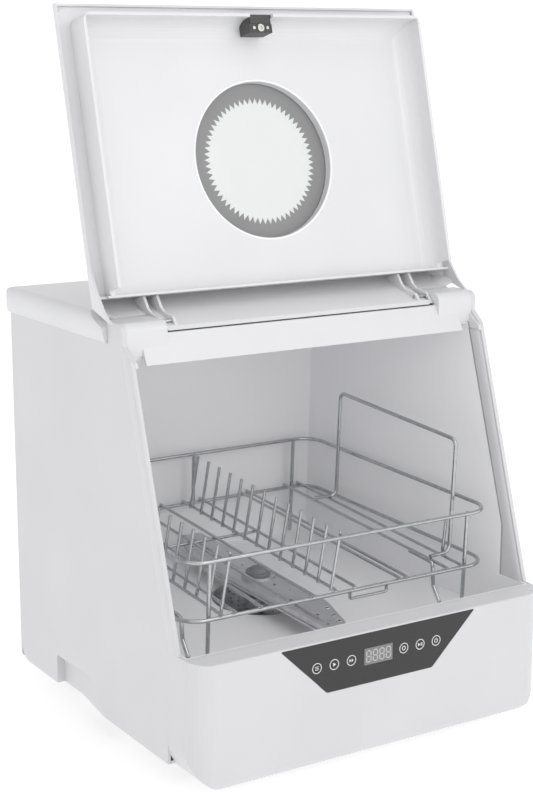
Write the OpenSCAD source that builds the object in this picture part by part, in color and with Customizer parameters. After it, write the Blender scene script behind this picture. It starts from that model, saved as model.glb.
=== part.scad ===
// Countertop dishwasher with a lift-up lid: cabinet, tub, wire basket, turning spray arm and pump set.
// Millimetres. Z is up, the front faces -Y, X runs to the right as seen from the front.
// The lid is drawn open; it turns about the pin line at (pin_y, pin_z).

/* [Cabinet] */
// Width across the flat side panels
cab_w = 434; // [420:1:450]
// Distance from the frame origin to the front face
front_y = 201.8; // [198:0.2:206]
// Distance from the frame origin to the back face
back_y = 202; // [199:0.5:205]
// Wall of the side panels and the fascia
wall = 3; // [2.5:0.1:4]
// Wall of the back panel
back_wall = 2.5; // [2:0.1:3.5]
// Height of the side panels' bottom edge above the table
side_bottom = 21; // [17:0.5:25]
// Height of the fascia's bottom edge above the table
fascia_bottom = 6; // [4:0.5:9]
// Height of the lip, the lower edge of the opening
lip_z = 139.6; // [135:0.2:143]
// How far the lip's inner edge lies behind the front face
lip_depth = 18.8; // [16:0.2:20]
// How far the lip falls towards the front
lip_fall = 3.1; // [1:0.1:4]
// Plan radius of the fascia's upright corners
fascia_corner = 25; // [15:1:32]
// Radius of the fascia's bottom corners, seen from the front
fascia_foot_r = 39; // [25:1:45]
// How far the fascia wraps back round the sides
fascia_return = 53.8; // [50:0.2:58]
// Height of the faint crease across the fascia
crease_z = 71; // [55:1:78]
// Radius of the side panels' lower back corner
side_back_r = 18; // [8:1:25]

/* [Opening] */
// Lean of the opening from the vertical
slope = 17.3; // [15:0.1:19]
// Y of the sloping rim at the height of the lip
mouth_y = -170.9; // [-173:0.1:-169]
// Height where the sloping rim ends below the hinges
rim_top = 412; // [406:1:414]
// Extra reach of the flared rim beyond the side panel
rim_flare = 2.5; // [0:0.1:2.8]
// Depth of the flared band along the rim
rim_band = 20; // [14:1:30]
// Depth of the white lining between the rim's edge and the tub
rim_depth = 16.5; // [12:0.5:20]
// Width of the white apron inside the rim behind the lip
apron = 34; // [28:0.5:38]
// Height of the lower edge of the header strip
header_bottom = 405.6; // [402:0.2:407]
// Width of the notch at each end of the header strip
header_notch = 14.7; // [10:0.1:17]
// Y of the header strip at its lower edge
header_y = -77.6; // [-78:0.1:-76.5]

/* [Hinge] */
// Y of the hinge pins
pin_y = -49.2; // [-50:0.1:-48]
// Height of the hinge pins
pin_z = 443; // [441:0.2:444]
// Radius of the hinge pins
pin_r = 2; // [1.8:0.1:2.4]
// Radial clearance of the pins in the lid's arms
pin_fit = 0.05; // [0.02:0.01:0.09]
// Width of each hinge block
block_w = 45.4; // [42:0.2:46]
// Front face of the hinge blocks
block_front = -70; // [-72:0.5:-68]
// Top of the hinge blocks
block_top = 447; // [446:0.5:448]
// Lean of the open lid from the vertical
lid_lean = 14.1; // [12:0.1:16]

/* [Lid] */
// Gap between the lid's side skirts and the flared rim
skirt_gap = 0.6; // [0.5:0.1:1]
// Depth of the flat part of the lid's side skirts
skirt_flat = 6; // [5.2:0.2:12]
// How far the lid's sides draw in towards its back
lid_draw = 18; // [6:0.5:24]
// Length from the hinge pins to the lid's front edge
lid_reach = 326; // [322:0.5:328]
// Depth of the lid's skirts
lid_depth = 28; // [24:0.5:30]
// Wall of the lid shell
lid_wall = 2.6; // [2:0.1:3]
// Gap between the closed lid's edge and the rim
edge_gap = 1; // [0.8:0.1:2]
// Plan radius of the lid's front corners
lid_corner = 14; // [6:1:20]
// Gap between the liner's raised frame and the tub's sides
liner_gap = 3.7; // [2.5:0.1:5]
// Start of the liner, measured from the pins
liner_start = 29; // [28:0.5:32]
// End of the liner, measured from the pins
liner_end = 311; // [305:0.5:312]
// Height of the liner's raised frame above the lid's edge plane
liner_h = 28; // [24:0.5:28]
// Width of the top of the liner's raised frame
liner_rim = 3.5; // [2.5:0.1:5]
// Radius of the coves along the liner's sides
liner_cove = 20; // [8:1:24]
// Radius of the cove at the liner's front edge
liner_tip_cove = 20; // [8:1:22]

/* [Window] */
// Distance from the pins to the middle of the window
window_s = 162.6; // [150:0.5:175]
// Radius of the round opening for the window
window_r = 83.5; // [70:0.5:90]
// Thickness of the window pane
pane_t = 3; // [2:0.1:4]
// Outer radius of the printed ring
print_r = 83; // [69:0.5:83.2]
// Radius of the bottoms of the printed ring's teeth
tooth_root = 68.2; // [66:0.1:68.5]
// Radius of the tips of the printed ring's teeth
tooth_tip = 61.5; // [56:0.1:64]
// Number of teeth on the printed ring
teeth = 64; // [24:1:80]

/* [Tub] */
// Taper of the tub's sides towards the back
tub_taper = 6.7; // [5:0.1:6.8]
// Wall of the tub
tub_wall = 2.5; // [2:0.1:2.6]
// Rise of the tub floor towards the back
floor_rise = 3.5; // [2.5:0.1:4]
// Height of the tub floor at its front edge
floor_z = 94; // [92:0.5:97]
// Y of the tub's back wall, inside
tub_back = 195; // [190:0.5:196]
// Height of the tub's ceiling, inside
tub_top = 411; // [409:0.5:415]
// Radius of the tub's rounded corners
tub_r = 20; // [8:1:25]

/* [Spray arm] */
// X of the spray arm's axis
arm_x = -8; // [-10:0.5:4]
// Y of the spray arm's axis
arm_y = 22; // [18:0.5:26]
// Length of the spray arm from its axis to each tip
arm_reach = 158; // [130:1:162]
// Width of the spray arm at its broadest
arm_w = 58; // [44:1:62]
// Width of the spray arm at its tips
arm_tip_w = 31; // [22:1:34]
// Thickness of the spray arm
arm_t = 11; // [9:0.5:13]
// Height of the spray arm above the tub floor
arm_rise = 17; // [14:0.5:20]
// Turn of the arm in the drawing, seen from above
arm_turn = 0; // [-20:0.5:20]
// Radius of the arm's hub
hub_r = 19; // [16:0.5:24]

/* [Basket] */
// Radius of the thick basket wires
wire_r = 2.2; // [1.8:0.1:2.5]
// Radius of the thin basket wires and tines
tine_r = 1.7; // [1.3:0.1:2]
// Room between the mouth of the tub and the basket's front corners
basket_side_room = 18.2; // [14:0.2:30]
// How much narrower the basket is at the back, on each side
basket_taper = 23.5; // [23:0.5:34]
// Distance from the tub's front wall to the basket's front wires
basket_front_room = 43.7; // [42:0.1:52]
// Distance from the basket's back wires to the tub's back wall
basket_back_room = 6; // [5.5:0.1:16]
// Height of the lower ring above the tub floor
ring_low = 60; // [56:0.5:64]
// Height of the upper ring above the lower ring
ring_gap = 61; // [50:0.5:64]
// Plan radius of the basket's corners
basket_corner = 26; // [14:1:34]
// Height of the plate tines above the lower ring
tine_h = 66; // [50:1:84]
// Number of plate tines in each row
tine_count = 13; // [5:1:14]
// Height of the tall bowl loop above the lower ring
loop_h = 136; // [100:1:140]

/* [Controls] */
// Width of the control panel along its top edge
panel_w = 241.2; // [220:0.2:246]
// Width of the control panel along its bottom edge
panel_foot_w = 131.4; // [110:0.2:140]
// Height of the control panel
panel_h = 53.4; // [48:0.2:56]
// Thickness of the control panel
panel_t = 2; // [1.4:0.1:2.2]
// Outer radius of the ring round each touch key
key_r = 5.6; // [4.5:0.1:7]
// Distance between neighbouring touch keys
key_pitch = 20.8; // [17:0.2:22]
// Width of the display
display_w = 35; // [28:0.5:38]
// Height of the display
display_h = 17.6; // [14:0.2:20]

/* [Base] */
// Radius of the rubber feet
foot_r = 14; // [10:0.5:18]
// Thickness of the base tray
base_t = 3; // [2.5:0.1:4]
// Radius of the spray pump's motor
motor_r = 24; // [18:0.5:26]
// Radius of the water inlet's outer end
inlet_r = 13.2; // [12:0.1:14]
// Radius of the drain spigot
drain_r = 9.5; // [8:0.1:11]

/* [Hidden] */

$fn = 48;
arc_steps = 8;
wire_fn = 16;
lap = 0.5;            // how far a wire's straight part runs into its bend
seam = 0.04;          // the straight parts are thinner than the bends by this
cut = 1;              // overshoot of cutting shapes
seat = 0.3;           // gap between parts that move past each other

cab_half = cab_w / 2;
lid_half = cab_half + rim_flare + skirt_gap + lid_wall;
panel_in = cab_half - wall;                  // inner face of the side panels
tub_half = panel_in - seat - tub_wall;       // half-width of the tub at its mouth
liner_half = tub_half - liner_gap;
header_half = tub_half - header_notch;
block_inner = panel_in - block_w;            // inner faces of the hinge blocks
return_y = fascia_return - front_y;          // seam between fascia and side panels
lip_in = lip_depth - front_y;                // Y of the lip's inner edge
fascia_top = lip_z - lip_fall;               // top edge of the fascia's front face
foot_set = 57;                               // setback of the feet from the panels' planes
apron_y = mouth_y + apron;                   // where the apron behind the lip ends
gasket_t = 2;                                // thickness of the seal between rim and tub

// Directions of the opening plane in Y and Z
down_y = -sin(slope);
down_z = -cos(slope);
pin_n = (pin_y - mouth_y) * cos(slope) - (pin_z - lip_z) * sin(slope) + edge_gap;

// Colours
white = [0.90, 0.90, 0.91];
bright = [0.94, 0.94, 0.95];
tub_grey = [0.80, 0.80, 0.81];
dark = [0.29, 0.29, 0.30];
steel = [0.72, 0.72, 0.74];
grey = [0.55, 0.55, 0.56];
rubber = [0.13, 0.13, 0.14];

// ---- helpers ----------------------------------------------------------------------------

function unit(v) = v / norm(v);
function slope_y(z) = mouth_y + (z - lip_z) * tan(slope);
// The inner edge of the rim's lining and the height of its corner, moved back by d
function deep_y(z, d) = slope_y(z) + (rim_depth - edge_gap + d) / cos(slope);
function deep_corner(d) = lip_z + (apron_y + d - mouth_y - (rim_depth - edge_gap + d) / cos(slope)) / tan(slope);
function floor_at(y) = floor_z + (y - tub_front) * tan(floor_rise);
tub_front = lip_in + wall + seat + tub_wall;

// Points of one rounded corner q between p and s
function corner(p, q, s, r) =
    r == 0 ? [q] :
    let (u = unit(p - q), v = unit(s - q), half = acos(u * v) / 2,
         o = q + unit(u + v) * r / sin(half),
         a = q + u * r / tan(half) - o,
         b = q + v * r / tan(half) - o,
         a0 = atan2(a.y, a.x),
         turn = (atan2(b.y, b.x) - a0 + 540) % 360 - 180)
    [for (i = [0 : arc_steps]) o + r * [cos(a0 + turn * i / arc_steps), sin(a0 + turn * i / arc_steps)]];

// Outline from [x, y, corner radius] triples
function rounded(pts) = let (n = len(pts)) [for (i = [0 : n - 1])
    let (p = pts[(i + n - 1) % n], q = pts[i], s = pts[(i + 1) % n])
    each corner([p.x, p.y], [q.x, q.y], [s.x, s.y], q.z)];

// A Y-Z outline extruded from x0 to x1
module across(x0, x1) translate([x0, 0, 0]) rotate([90, 0, 90]) linear_extrude(x1 - x0) children();
// An X-Z outline extruded from y0 back to y1
module through(y0, y1) translate([0, y1, 0]) rotate([90, 0, 0]) linear_extrude(y1 - y0) children();
// Both sides of the part
module both_sides() { children(); mirror([1, 0, 0]) children(); }

// Frame of the open lid: x, then s away from the pins, then n towards the liner side
module in_lid() translate([0, pin_y, pin_z]) rotate([90 - lid_lean, 0, 0]) translate([0, 0, -pin_n]) children();
// The same frame with the lid closed: s runs down the opening, n runs into the tub
module in_mouth() translate([0, pin_y, pin_z]) rotate([270 - slope, 0, 0]) translate([0, 0, -pin_n]) children();
// An x-n outline extruded from s0 to s1, for use inside the two frames above
module along(s0, s1) translate([0, s1, 0]) rotate([90, 0, 0]) linear_extrude(s1 - s0) children();

// Frame that lies on the tub floor at the spray arm's axis
module on_floor() translate([arm_x, arm_y, floor_at(arm_y)]) rotate([floor_rise, 0, 0]) children();

// A straight round bar from a to b
module rod(a, b, r) let (d = b - a, l = norm(d))
    translate(a) rotate([0, acos(d.z / l), atan2(d.y, d.x)]) cylinder(h = l, r = r, $fn = wire_fn);

// One bend of a wire at q, on its way from p to s
module bend(p, q, s, r, bend_r)
    let (u = unit(q - p), v = unit(s - q), angle = acos(u * v),
         e3 = unit(cross(u, v)), e1 = cross(u, e3),
         c = q + unit(v - u) * bend_r / cos(angle / 2))
    multmatrix([[e1.x, u.x, e3.x, c.x], [e1.y, u.y, e3.y, c.y], [e1.z, u.z, e3.z, c.z]])
        rotate_extrude(angle = angle, $fn = 48) translate([bend_r, 0]) circle(r, $fn = wire_fn);

function trim(p, q, s, bend_r) = bend_r * tan(acos(unit(q - p) * unit(s - q)) / 2);

// A bent wire through the points; closed wires join their last point to the first
module wire(pts, r, bend_r, closed = false)
    let (n = len(pts), last = closed ? n - 1 : n - 2) {
        for (i = [0 : last])
            let (p = pts[i], q = pts[(i + 1) % n], u = unit(q - p),
                 t0 = closed || i > 0 ? trim(pts[(i + n - 1) % n], p, q, bend_r) : 0,
                 t1 = closed || i < last ? trim(p, q, pts[(i + 2) % n], bend_r) : 0)
                rod(p + u * (t0 - (t0 > 0 ? lap : 0)), q - u * (t1 - (t1 > 0 ? lap : 0)), r - seam);
        for (i = [closed ? 0 : 1 : closed ? n - 1 : n - 2])
            bend(pts[(i + n - 1) % n], pts[i], pts[(i + 1) % n], r, bend_r);
    }

// ---- cabinet ----------------------------------------------------------------------------

// Side view of the fascia, grown inwards by g
module fascia_side(g) {
    polygon(rounded([
        [return_y + g * 4, fascia_bottom + 7 + g, 0],
        [-front_y + 26, fascia_bottom + 2 + g, 0],
        [-front_y + 1.4 + g, fascia_bottom + g, 6],
        [-front_y + g, crease_z, 0],
        [-front_y + g, fascia_top - g, g > 0 ? 0 : 1.5],
        [lip_in, lip_z - g, 0],
        [return_y + g * 4, lip_z - g, 0]]));
}

// Front view of the fascia, grown inwards by g
module fascia_front(g) {
    h = cab_half - g;
    r = fascia_foot_r - g;
    polygon(rounded([[-h, fascia_bottom + g, r], [h, fascia_bottom + g, r], [h, lip_z, 0], [-h, lip_z, 0]]));
}

// Plan of the fascia, grown inwards by g
module fascia_plan(g) {
    h = cab_half - g;
    r = fascia_corner - g;
    polygon(rounded([[-h, return_y + g * 4, 0], [-h, -front_y + g, r], [h, -front_y + g, r], [h, return_y + g * 4, 0]]));
}

module fascia_form(g) intersection() {
    across(-cab_half, cab_half) fascia_side(g);
    through(-front_y - cut, return_y + g * 4 + cut) fascia_front(g);
    linear_extrude(lip_z + cut) fascia_plan(g);
}

module panel_outline(g) {
    top = fascia_top - 1.7;
    foot = top - panel_h;
    polygon(rounded([
        [-panel_foot_w / 2 - g, foot - g, 5], [panel_foot_w / 2 + g, foot - g, 5],
        [panel_w / 2 + g * 1.6, top + g, 0.8], [-panel_w / 2 - g * 1.6, top + g, 0.8]]));
}

module front_fascia() color(white) difference() {
    fascia_form(0);
    fascia_form(wall);
    // mouth of the tub behind the lip
    translate([-panel_in, lip_in + wall, lip_z - 10])
        cube([2 * panel_in, return_y - lip_in, 10 + cut]);
    // pocket for the control panel
    through(-front_y - cut, -front_y + panel_t) panel_outline(0.15);
    // window behind the keys and the display
    through(-front_y, -front_y + wall + cut) translate([-board_half - 0.5, key_row - display_h / 2 - 0.5])
        square([2 * board_half + 1, display_h + 1]);
}

// Outline of a side panel in the Y-Z plane
module side_outline() polygon(rounded([
    [back_y - back_wall, side_bottom, side_back_r],
    [return_y, side_bottom, 0],
    [return_y, lip_z, 0],
    [mouth_y, lip_z, 0],
    [slope_y(rim_top), rim_top, 10],
    [block_front, rim_top + 14, 5],
    [block_front, block_top, 9],
    [cover_front - seat, block_top, 0],
    [cover_front - seat, cover_bottom + cover_tuck, 0],
    [back_y - back_wall, cover_bottom + cover_tuck, 0]]));

grip_y = [-10, 105];          // hand grip in the side, front and back end
grip_top = 54;
grip_depth = 9;

module grip(g) {
    x = cab_half + rim_flare + cut;
    intersection() {
        // the recess runs out to nothing at its front end
        translate([0, 0, side_bottom - cut]) linear_extrude(grip_top - side_bottom + g + cut)
            polygon([[x, grip_y[0] - g * 2], [cab_half, grip_y[0] - g * 2], [cab_half - grip_depth - g, grip_y[1] - 45],
                [cab_half - grip_depth - g, grip_y[1] + g], [x, grip_y[1] + g]]);
        across(cab_half - grip_depth - g - cut, x)
            polygon(rounded([[grip_y[0] - g * 2, side_bottom - cut, 0], [grip_y[1] + g, side_bottom - cut, 0],
                [grip_y[1] + g, grip_top + g, 4], [grip_y[0] + 25, grip_top + g, 30]]));
    }
}

// Outline behind the lining's inner edge, moved back by d
module behind_rim(d) polygon(rounded([
    [apron_y + d, lip_z - 2 * cut, 0], [apron_y + d, deep_corner(d), 15], [deep_y(tub_top + 40, d), tub_top + 40, 0],
    [back_y, tub_top + 40, 0], [back_y, lip_z - 2 * cut, 0]]));

module side_panel() color(white) {
    difference() {
        union() {
            across(panel_in, cab_half) side_outline();
            // flared band along the sloping rim
            intersection() {
                in_mouth() along(0, 330) polygon([
                    [panel_in, edge_gap + 2.5], [panel_in + 1, edge_gap], [cab_half + rim_flare - 2, edge_gap],
                    [cab_half + rim_flare - 0.6, edge_gap + 0.6], [cab_half + rim_flare, edge_gap + 2],
                    [cab_half + rim_flare, edge_gap + 7], [cab_half + rim_flare * 0.6, edge_gap + rim_band * 0.7],
                    [cab_half, edge_gap + rim_band], [panel_in, edge_gap + rim_band]]);
                across(panel_in, cab_half + rim_flare) side_outline();
            }
            // lining that rolls inwards from the rim's edge to the tub
            difference() {
                intersection() {
                    in_mouth() along(0, 345) polygon([
                        [panel_in + cut, edge_gap + 1.5], [panel_in + cut, 80], [tub_half, 80], [tub_half, edge_gap + 13],
                        [tub_half + 0.3, edge_gap + 9], [tub_half + 1, edge_gap + 5.5], [tub_half + 2, edge_gap + 3.2]]);
                    across(panel_in - 20, cab_half) polygon([
                        [mouth_y, lip_z], [apron_y + 20, lip_z], [slope_y(header_seam) + 60, header_seam], [slope_y(header_seam), header_seam]]);
                }
                across(0, cab_w) behind_rim(0);
            }
            // bosses for the back panel's screws
            for (at = screw_at) if (at.x > 0)
                translate([panel_in - 11, back_y - back_wall - 12, at.y - 5]) cube([11 + cut, 12, 10]);
            // wall of the hand grip
            intersection() {
                grip(wall);
                across(cab_half - grip_depth - wall, cab_half) side_outline();
            }
        }
        grip(0);
        for (at = screw_at) if (at.x > 0) translate([at.x, back_y - back_wall - 9, at.y]) rotate([-90, 0, 0])
            cylinder(h = 9 + cut, r = 1.6, $fn = 24);
    }
}
module side_panel_right() side_panel();
module side_panel_left() mirror([1, 0, 0]) side_panel();

inlet_at = [cab_half - 67, 62];         // X and Z of the water inlet on the back
drain_at = [97 - cab_half, 62];        // X and Z of the drain spigot
gland_at = [45 - cab_half, 52];        // X and Z of the cord gland
screw_at = [for (x = [-1, 1], z = [60, 230, 400]) [x * (panel_in - 6), z]];

module back_panel() color(white) difference() {
    through(back_y - back_wall, back_y)
        polygon(rounded([[-cab_half, side_bottom, 6], [cab_half, side_bottom, 6],
            [cab_half, cover_bottom + cover_tuck, 0], [-cab_half, cover_bottom + cover_tuck, 0]]));
    for (at = [inlet_at, drain_at, gland_at])
        translate([at.x, back_y - back_wall - cut, at.y]) rotate([-90, 0, 0])
            cylinder(h = back_wall + 2 * cut, r = at == inlet_at ? 11 : at == drain_at ? drain_r + seat : 7 + seat);
    // cooling slots
    for (row = [0 : 4], side = [-1, 1])
        translate([side * 60 - 35, back_y - back_wall - cut, 44 + row * 9])
            cube([70, back_wall + 2 * cut, 3]);
    for (at = screw_at) translate([at.x, back_y - back_wall - cut, at.y]) rotate([-90, 0, 0])
        cylinder(h = back_wall + 2 * cut, r = 1.6, $fn = 24);
}

module base_tray() color(white) {
    z = side_bottom;
    difference() {
        union() {
            translate([-panel_in + seat, return_y, z])
                cube([2 * (panel_in - seat), back_y - back_wall - return_y - seat, base_t]);
            // stiffening kerb round the tray
            difference() {
                translate([-panel_in + seat + grip_depth + wall, return_y, z]) cube([2 * (panel_in - seat - grip_depth - wall), back_y - back_wall - return_y - seat, 12]);
                translate([-panel_in + seat + grip_depth + 2 * wall, return_y + wall, z])
                    cube([2 * (panel_in - seat - grip_depth - 2 * wall), back_y - back_wall - return_y - seat - 2 * wall, 12 + cut]);
            }
        }
        for (x = [-1, 1]) for (y = [return_y + foot_set, back_y - foot_set])
            translate([x * (cab_half - foot_set), y, z - cut]) cylinder(h = base_t + 2 * cut, r = 4);
        // opening under the float chamber and breathing slots
        for (i = [0 : 6]) translate([-60 + i * 20, 60, z - cut]) cube([4, 60, base_t + 2 * cut]);
        both_sides() translate([panel_in - grip_depth - wall, grip_y[0] - wall * 3, z - cut])
            cube([grip_depth + wall + cut, grip_y[1] - grip_y[0] + wall * 4, base_t + 2 * cut]);
    }
}

module feet() color(rubber) {
    z = side_bottom;
    for (x = [-1, 1]) for (y = [return_y + foot_set, back_y - foot_set])
        translate([x * (cab_half - foot_set), y, 0]) rotate_extrude()
            polygon([[0, 0], [foot_r - 2, 0], [foot_r, 2], [foot_r, z - 3], [foot_r - 3, z], [4, z], [4, z + base_t],
                [5.5, z + base_t + 1], [3, z + base_t + 4], [0, z + base_t + 4]]);
}

cover_bottom = 424;           // lower edge of the top cover's rim
cover_z = 452;                // top of the cover
cover_over = lid_half + seat - cab_half;     // overhang of the cover past the sides
cover_back = back_y + 9;
tail = [-10.5, 37.3];         // rear edge of the lid shell, past the pins
tail_reach = norm(tail - [0, pin_n]);
cover_front = pin_y + tail_reach + 0.6;      // front edge of the cover, clear of the turning lid
cover_tuck = -seat;           // the panels end just under the cover's rim
cover_front_z = 439.6;        // height of that edge, under the open lid
cover_rise_y = 8;             // where the cover reaches its full height
cover_edge = 12;              // radius of the cover's upper edge

module cover_side(g) polygon(rounded([
    [cover_back - g, cover_bottom - (g > 0 ? cut : 0), g > 0 ? 0 : 6],
    [cover_back - g, cover_z - g, cover_edge - g],
    [cover_rise_y + g, cover_z - g, 12],
    [cover_front + g, cover_front_z - g, g > 0 ? 0 : 2],
    [cover_front + g, cover_bottom - (g > 0 ? cut : 0), 0]]));

module cover_end(g) {
    h = cab_half + cover_over - g;
    polygon(rounded([
        [4 - h, cover_bottom - (g > 0 ? cut : 0), g > 0 ? 0 : 1], [h - 4, cover_bottom - (g > 0 ? cut : 0), g > 0 ? 0 : 1],
        [h, cover_bottom + 12, 20], [h, cover_z - g, cover_edge - g],
        [-h, cover_z - g, cover_edge - g], [-h, cover_bottom + 12, 20]]));
}

module cover_plan(g) {
    h = cab_half + cover_over - g;
    polygon(rounded([[-h, cover_front + g, 0], [h, cover_front + g, 0],
        [h, cover_back - g, 15 - g], [-h, cover_back - g, 15 - g]]));
}

module cover_form(g) intersection() {
    across(-cab_half - cover_over, cab_half + cover_over) cover_side(g);
    through(cover_front - cut, cover_back + cut) cover_end(g);
    translate([0, 0, cover_bottom - cut]) linear_extrude(cover_z) cover_plan(g);
}

module top_cover() color(white) difference() {
    cover_form(0);
    cover_form(wall);
    // the front wall stops above the header's ledge
    translate([-cab_half, cover_front - cut, cover_bottom - cut])
        cube([cab_w, wall + 2 * cut, header_ledge - cover_bottom + cut]);
}

header_top = 434.2;           // top of the header, just below the open lid's rear edge
header_top_y = -64.7;
header_seam = rim_top - 6;    // where the header takes over from the side panels' lining
block_foot = tub_top + tub_wall + seat;      // underside of the hinge blocks, above the tub
header_ledge = pin_z - tail_reach - 0.6;     // ledge behind the strip, clear of the turning lid

module opening_header() color(white) difference() {
    union() {
        across(-header_half, header_half) polygon([
            [header_y, header_bottom], [header_top_y, header_top], [header_top_y + 3, header_top],
            [header_top_y + 6, header_ledge], [cover_front + 16, header_ledge], [cover_front + 16, header_ledge - wall],
            [header_top_y + 2.4, header_ledge - wall], [header_y + wall, header_bottom]]);
        both_sides() {
            // block that holds the hinge pin
            across(block_inner, panel_in) polygon(rounded([
                [block_front, block_foot, 0], [block_front, block_top, 9.6], [cover_front - 0.4, block_top, 0],
                [cover_front - 0.4, header_ledge, 0], [cover_front + 16, header_ledge, 0], [cover_front + 16, header_ledge - wall, 0],
                [cover_front - 4, header_ledge - wall, 0], [cover_front - 10, block_foot + 2, 0],
                [block_front + 2, block_foot, 0]]));
            // shoulder that carries the rim's lining up to the block
            across(tub_half, panel_in) polygon([
                [slope_y(header_seam + seat), header_seam + seat], [slope_y(rim_top - 1), rim_top - 1],
                [block_front, rim_top + 10], [block_front + 1, block_foot], [block_front + 0.5, rim_top],
                [deep_y(header_seam, -1), header_seam + seat]]);
        }
    }
    both_sides() translate([block_inner - cut, pin_y, pin_z]) rotate([0, 90, 0])
        cylinder(h = 34, r = pin_r, $fn = 32);
}

module hinge_pins() color(steel) both_sides()
    translate([arm_rib[0] - 0.3, pin_y, pin_z]) rotate([0, 90, 0])
        cylinder(h = block_inner - arm_rib[0] + 33, r = pin_r, $fn = 32);

// ---- tub --------------------------------------------------------------------------------

// Side view of the tub, grown outwards by g; the hollow runs out through the mouth
module tub_side(g) {
    d = gasket_t + 2 * seam;
    polygon(rounded(concat([
        [tub_front - g, floor_at(tub_front) - g, tub_r + g],
        [tub_back + g, floor_at(tub_back) - g, tub_r + g],
        [tub_back + g, tub_top + g, tub_r + g]],
        g > 0 ? [
            [deep_y(tub_top + g, d), tub_top + g, 0],
            [apron_y + d, deep_corner(d), 15],
            [apron_y + d, lip_z - seat, 0],
            [tub_front - g, lip_z - seat, 0]] :
            [[tub_front, tub_top, 0]])));
}

function tub_half_at(n) = tub_half - (n - rim_depth) * tan(tub_taper);

// Plan of the tub square to the opening: x against n
module tub_plan(g) {
    n1 = 420;
    polygon([[-tub_half - g, -30], [tub_half + g, -30], [tub_half + g, rim_depth],
        [tub_half_at(n1) + g, n1], [-tub_half_at(n1) - g, n1], [-tub_half - g, rim_depth]]);
}

module tub_form(g) intersection() {
    across(-tub_half - 12, tub_half + 12) tub_side(g);
    in_mouth() along(-60, 420) tub_plan(g);
}

well_r = 52;                  // round well in the floor that holds the filter
sump_r = well_r - 7;
well_depth = 5;
collar_h = 11.5;              // depth of the collar under the floor

module tub() color(tub_grey) difference() {
    union() {
        tub_form(tub_wall);
        // collar under the floor for the sump
        on_floor() translate([0, 0, -collar_h]) cylinder(h = collar_h, r = well_r + tub_wall);
    }
    tub_form(0);
    on_floor() {
        translate([0, 0, -well_depth]) cylinder(h = well_depth + cut, r = well_r);
        translate([0, 0, -30]) cylinder(h = 30, r = sump_r + seat);
    }
}

// Soft strips between the rim's lining and the tub's side walls
module tub_gasket() color(grey) both_sides() intersection() {
    across(tub_half, tub_half + tub_wall) difference() {
        behind_rim(seam);
        behind_rim(gasket_t + seam);
    }
    translate([0, -front_y, lip_z + seat]) cube([cab_half, 2 * front_y, header_seam - lip_z - seat]);
}

// ---- controls ---------------------------------------------------------------------------

key_row = fascia_top - 26.8;          // height of the row of keys and the display
key_x = [for (i = [0 : 2]) -36.4 - (2 - i) * key_pitch, for (i = [0 : 2]) 28.9 + i * key_pitch];
print_t = 0.3;                        // thickness of inlaid marks

module control_panel() color(dark) through(-front_y, -front_y + panel_t) panel_outline(0);

module mark(x) translate([x, -front_y, key_row]) rotate([90, 0, 0]) linear_extrude(print_t) children();

// Plain generic signs inside the rings: bars, triangle, double triangle, circle, pause, stroke
module sign(i) {
    if (i == 0) for (y = [-1.6 : 1.6 : 1.6]) translate([-2.2, y - 0.3]) square([4.4, 0.6]);
    if (i == 1) polygon([[-1.4, -2], [2.2, 0], [-1.4, 2]]);
    if (i == 2) for (x = [-2.4, 0.3]) translate([x, 0]) polygon([[0, -1.8], [2.2, 0], [0, 1.8]]);
    if (i == 3) difference() { circle(2.4, $fn = 24); circle(1.6, $fn = 24); }
    if (i == 4) { polygon([[-2.6, -1.8], [0.2, 0], [-2.6, 1.8]]); for (x = [0.9, 2.1]) translate([x, -1.8]) square([0.7, 3.6]); }
    if (i == 5) { translate([-0.35, 0.2]) square([0.7, 2.8]); difference() { circle(2.4, $fn = 24); circle(1.7, $fn = 24); translate([-0.9, 0]) square([1.8, 3]); } }
}

module key_rings() color(bright) for (i = [0 : len(key_x) - 1]) mark(key_x[i]) {
    difference() { circle(key_r); circle(key_r - 0.8); }
    sign(i);
}

module display_window() color(grey)
    translate([-3, -front_y - print_t, key_row]) through(0, print_t) square([display_w, display_h], center = true);

module segment(l) polygon([[-l / 2, 0], [-l / 2 + 0.6, 0.6], [l / 2 - 0.6, 0.6], [l / 2, 0], [l / 2 - 0.6, -0.6], [-l / 2 + 0.6, -0.6]]);

module display_digits() color(bright) for (i = [0 : 3])
    translate([-3 + (i - 1.5) * display_w / 4.3, -front_y - print_t, key_row]) rotate([90, 0, 0]) linear_extrude(0.2) {
        for (y = [-1, 0, 1]) translate([0, y * display_h * 0.33]) segment(4.2);
        for (x = [-1, 1], y = [-0.5, 0.5]) translate([x * 2.6, y * display_h * 0.33]) rotate(90) segment(display_h * 0.3);
    }

board_y = -front_y + wall + 4;
board_half = 89;

module control_board() color([0.16, 0.36, 0.24]) {
    translate([-board_half - 3, board_y, key_row - 14]) cube([2 * board_half + 6, 1.6, 28]);
    // key sensors and display block stand up to the back of the control panel
    for (x = key_x) translate([x, board_y - 4 - wall + panel_t, key_row]) rotate([-90, 0, 0]) cylinder(h = 4 + wall - panel_t, r = 4.4, $fn = 24);
    translate([-3 - display_w / 2, board_y - 4 - wall + panel_t, key_row - display_h / 2]) cube([display_w, 4 + wall - panel_t, display_h]);
}

module catch_magnet() color(steel)
    translate([-12, lip_in - 14, fascia_top - wall - 4.95]) cube([24, 10, 5]);

module reed_switch() color(rubber) translate([20, lip_in - 14, fascia_top - wall - 5.95])
    cube([22, 10, 6]);

// ---- water works under the tub ------------------------------------------------------------

sump_h = 40;
heater_r = 3.2;
pump_z = 70;                  // height of both pumps' axes

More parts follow.
